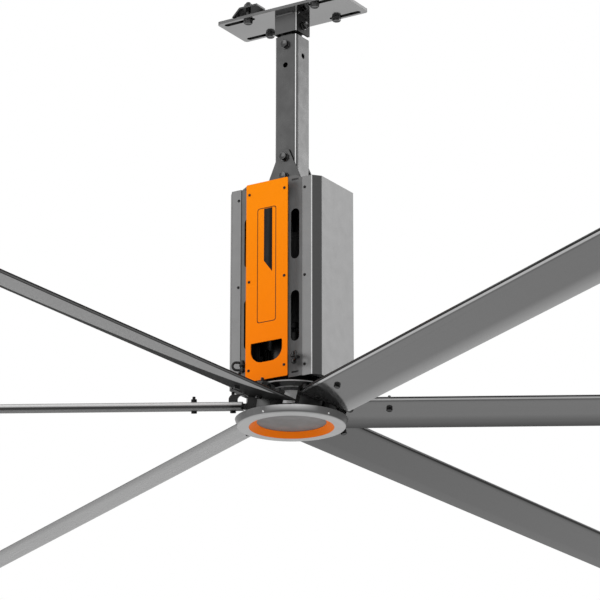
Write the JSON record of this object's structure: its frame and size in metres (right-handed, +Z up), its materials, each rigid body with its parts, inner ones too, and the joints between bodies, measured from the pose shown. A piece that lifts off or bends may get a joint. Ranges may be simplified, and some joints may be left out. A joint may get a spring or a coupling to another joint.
{
  "type": "ceiling fan",
  "caption": "Large slow-turning ceiling fan: aerofoil blades on a geared motor in a tall housing, hung by a drop tube and a two-axis knuckle from a beam-clamp plate.",
  "frame": {"origin": "centre of the top face of the pad on the ceiling plate, which lies against the beam", "axes": "+Z up, square to the plate; +X along the plate; -Y towards the front cover of the housing"},
  "size_m": [4.2746, 4.8, 1.4005],
  "materials": {
    "pad_rubber": "dense packing",
    "plate_coat": "satin light grey powder coat",
    "bracket_coat": "satin grey powder coat",
    "black_steel": "satin black",
    "tube_coat": "satin dark grey powder coat",
    "frame_coat": "matte dark grey powder coat",
    "cover_orange": "satin orange powder coat",
    "side_silver": "satin silver-grey powder coat",
    "bolt_zinc": "zinc plated",
    "rail_coat": "matte black powder coat",
    "black_fastener": "black oxide",
    "motor_grey": "painted die cast",
    "rotor_steel": "machined",
    "drive_plastic": "moulded housing",
    "boss_grey": "machined",
    "hub_coat": "satin dark grey powder coat",
    "blade_silver": "satin anodised extrusion",
    "tip_grey": "moulded",
    "cap_silver": "spun and satin anodised",
    "disc_grey": "satin grey",
    "bright_screw": "bright stainless"
  },
  "bodies": {
    "ceiling": {"beam_pad": "pad_rubber", "mount_plate": "plate_coat", "plate_bracket": "bracket_coat", "pivot_bolt_x": "black_fastener"},
    "knuckle_body": {"knuckle": "hub_coat"},
    "hanger": {"pivot_bolt_y": "black_fastener", "drop_tube": "tube_coat", "tube_bolts": "black_fastener", "ear_front": "tube_coat", "ear_rear": "tube_coat", "frame_front": "frame_coat", "frame_rear": "frame_coat", "frame_top": "frame_coat", "frame_bottom": "frame_coat", "cover_front": "cover_orange", "cover_rear": "cover_orange", "side_cover_left": "side_silver", "side_cover_right": "side_silver", "cover_rails": "rail_coat", "cover_screws": "black_fastener", "cable_lugs": "frame_coat", "motor_body": "motor_grey", "motor_cowl": "motor_grey", "terminal_box": "motor_grey", "gearbox": "motor_grey", "flange_bolts": "bolt_zinc", "drive_box": "drive_plastic"},
    "rotor": {"output_boss": "boss_grey", "hub": "hub_coat", "hub_bolts": "black_fastener", "blade_arms": "hub_coat", "blade_1": "blade_silver", "blade_2": "blade_silver", "blade_3": "blade_silver", "blade_4": "blade_silver", "blade_5": "blade_silver", "blade_6": "blade_silver", "tip_caps": "tip_grey", "retaining_straps": "hub_coat", "blade_bolts": "black_fastener", "cap_carrier": "hub_coat", "hub_cap": "cap_silver", "cap_ring": "cover_orange", "cap_disc": "disc_grey", "cap_screws": "bright_screw"},
    "motor_shaft": {"motor_rotor": "rotor_steel"},
    "clamp_1": {"beam_clamp_1": "black_steel", "clamp_bolt_1": "black_fastener"},
    "shackle_1": {"shackle_1": "black_steel"},
    "clamp_2": {"beam_clamp_2": "black_steel", "clamp_bolt_2": "black_fastener"},
    "shackle_2": {"shackle_2": "black_steel"},
    "clamp_3": {"beam_clamp_3": "black_steel", "clamp_bolt_3": "black_fastener"},
    "shackle_3": {"shackle_3": "black_steel"},
    "clamp_4": {"beam_clamp_4": "black_steel", "clamp_bolt_4": "black_fastener"},
    "shackle_4": {"shackle_4": "black_steel"}
  },
  "joints": [
    {"name": "clamp_1_slide", "type": "slide", "parent": "ceiling", "child": "clamp_1", "axis": [-1, 0, 0], "range_m": [-0.015, 0.079]},
    {"name": "clamp_2_slide", "type": "slide", "parent": "ceiling", "child": "clamp_2", "axis": [-1, 0, 0], "range_m": [-0.015, 0.079]},
    {"name": "clamp_3_slide", "type": "slide", "parent": "ceiling", "child": "clamp_3", "axis": [1, 0, 0], "range_m": [-0.015, 0.079]},
    {"name": "clamp_4_slide", "type": "slide", "parent": "ceiling", "child": "clamp_4", "axis": [1, 0, 0], "range_m": [-0.015, 0.079]},
    {"name": "pivot_x", "type": "hinge", "parent": "ceiling", "child": "knuckle_body", "pos_m": [0, 0, -0.045], "axis": [1, 0, 0], "range_deg": [-5, 5]},
    {"name": "pivot_y", "type": "hinge", "parent": "knuckle_body", "child": "hanger", "pos_m": [0, 0, -0.114], "axis": [0, 1, 0], "range_deg": [-5, 5]},
    {"name": "rotor_spin", "type": "hinge", "parent": "hanger", "child": "rotor", "pos_m": [0, 0, -1.286], "axis": [0, 0, 1], "continuous": true},
    {"name": "motor_spin", "type": "hinge", "parent": "hanger", "child": "motor_shaft", "pos_m": [0, 0, -0.934], "axis": [0, 0, 1], "continuous": true},
    {"name": "shackle_1_swing", "type": "hinge", "parent": "hanger", "child": "shackle_1", "pos_m": [-0.092, -0.133, -1.176], "axis": [0, 0, 1], "range_deg": [-45, 75]},
    {"name": "shackle_2_swing", "type": "hinge", "parent": "hanger", "child": "shackle_2", "pos_m": [0.092, -0.133, -1.176], "axis": [0, 0, 1], "range_deg": [-75, 45]},
    {"name": "shackle_3_swing", "type": "hinge", "parent": "hanger", "child": "shackle_3", "pos_m": [0.092, 0.133, -1.176], "axis": [0, 0, 1], "range_deg": [-45, 75]},
    {"name": "shackle_4_swing", "type": "hinge", "parent": "hanger", "child": "shackle_4", "pos_m": [-0.092, 0.133, -1.176], "axis": [0, 0, 1], "range_deg": [-75, 45]}
  ],
  "couplings": [
    {"joint": "motor_spin", "follows": "rotor_spin", "ratio": 18}
  ]
}
